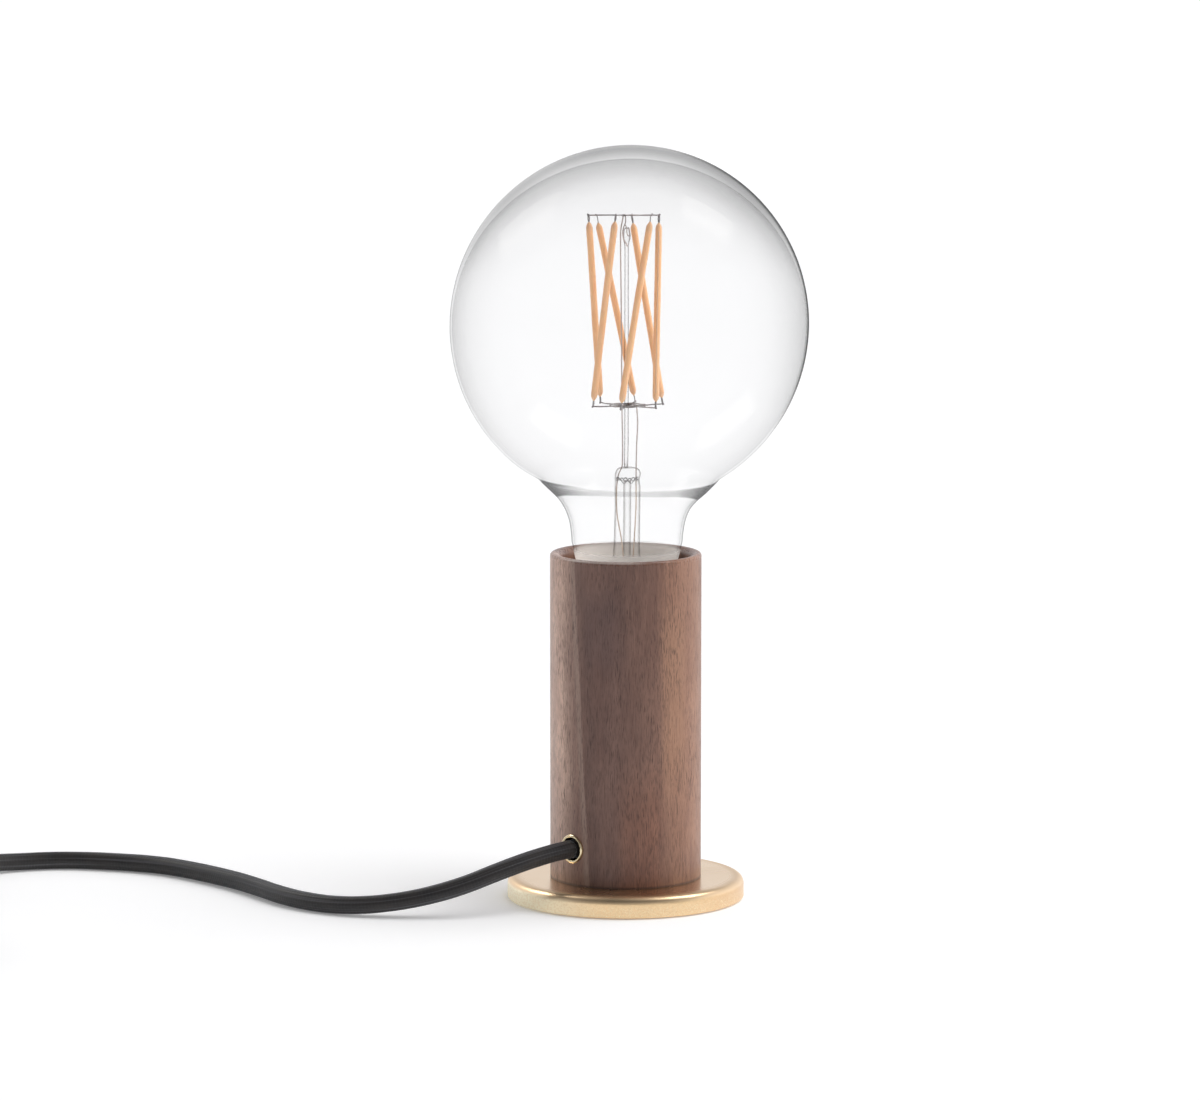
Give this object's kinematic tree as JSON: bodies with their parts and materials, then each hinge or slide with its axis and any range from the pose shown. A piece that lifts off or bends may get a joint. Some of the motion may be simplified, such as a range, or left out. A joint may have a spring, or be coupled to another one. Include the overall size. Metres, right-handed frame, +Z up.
{
  "type": "table lamp",
  "caption": "Bare bulb table lamp: turned walnut column on a round brass disc, large clear globe bulb with twisted filament cage, black fabric lead with rocker switch and flat plug.",
  "frame": {"origin": "on the lamp's axis at the surface it stands on, the underside of the felt", "axes": "+Z up along the column; -X is the side where the lead leaves the column"},
  "size_m": [0.4002, 0.2554, 0.2648],
  "materials": {
    "brass_base": "satin brushed brass, softly rounded edge",
    "brass_ferrule": "polished pale brass",
    "felt": "pressed felt",
    "steel": "zinc plated",
    "walnut": "satin oiled walnut, grain along the column",
    "cord_fabric": "tight black textile braid",
    "clamp_plastic": "moulded nylon",
    "wire_brown": "core insulation",
    "wire_blue": "core insulation",
    "holder_plastic": "moulded black holder",
    "ceramic": "unglazed",
    "brass_parts": "plain pressed brass",
    "cap_metal": "rolled brass cap",
    "black_glass": "opaque black glass",
    "clear_glass": "clear blown glass",
    "cement": "baked cement",
    "wire_metal": "thin nickel wire",
    "copper_wire": "copper clad wire",
    "circuit_board": "laminate",
    "black_plastic": "fine moulded texture",
    "rocker_plastic": "smooth",
    "pin_metal": "nickel plated pins",
    "tie_strap": "woven hook strap",
    "filament": "phosphor coated rods, unlit"
  },
  "bodies": {
    "lamp": {"base_disc": "brass_base", "felt_pad": "felt", "base_screws": "steel", "walnut_column": "walnut", "cord_ferrule": "brass_ferrule", "cord_inside": "cord_fabric", "grip_block": "clamp_plastic", "grip_strap": "clamp_plastic", "grip_screws": "steel", "wire_live": "wire_brown", "wire_neutral": "wire_blue", "stem_tube": "steel", "stem_washer": "steel", "stem_nut": "brass_parts", "holder_dome": "holder_plastic", "holder_skirt": "holder_plastic", "holder_insert": "ceramic", "terminal_live": "brass_parts", "terminal_neutral": "brass_parts", "terminal_screws": "steel", "thread_sleeve": "brass_parts", "sleeve_foot": "brass_parts", "neutral_strap": "brass_parts", "centre_contact": "brass_parts", "cord_from_lamp": "cord_fabric", "cord_to_coil": "cord_fabric", "cord_to_plug": "cord_fabric", "cord_coil": "cord_fabric", "coil_tie": "tie_strap", "switch_base": "black_plastic", "switch_cover": "black_plastic", "switch_pivot": "steel", "switch_screws": "steel", "switch_contacts": "brass_parts", "switch_cores": "wire_brown", "plug_body": "black_plastic", "plug_pins": "pin_metal", "plug_pin_sleeves": "black_plastic", "plug_relief": "black_plastic", "cord_in_plug": "cord_fabric"},
    "bulb_tip": {"cap_contact": "brass_parts"},
    "bulb": {"bulb_cap": "cap_metal", "cap_insulator": "black_glass", "glass_globe": "clear_glass", "glass_stem": "clear_glass", "exhaust_tube": "clear_glass", "support_rod": "clear_glass", "neck_seal": "cement", "cap_cement": "cement", "filament_rods": "filament", "filament_pins": "wire_metal", "top_star": "wire_metal", "bottom_star": "wire_metal", "top_hook": "wire_metal", "lead_wires": "copper_wire", "driver_board": "circuit_board", "driver_parts": "black_plastic", "driver_leads": "copper_wire"},
    "rocker": {"switch_rocker": "rocker_plastic"}
  },
  "joints": [
    {"name": "bulb_rise", "type": "slide", "parent": "lamp", "child": "bulb_tip", "axis": [0, 0, 1], "range_m": [0, 0.0165]},
    {"name": "bulb_turn", "type": "hinge", "parent": "bulb_tip", "child": "bulb", "pos_m": [0, 0, 0.1], "axis": [0, 0, 1], "range_deg": [0, 1620]},
    {"name": "rocker_tilt", "type": "hinge", "parent": "lamp", "child": "rocker", "pos_m": [-0.1926, 0.17536, 0.0112], "axis": [0.2756, -0.9613, 0], "range_deg": [0, 16]}
  ],
  "couplings": [
    {"joint": "bulb_rise", "follows": "bulb_turn", "m_per_rad": 0.00057757}
  ]
}
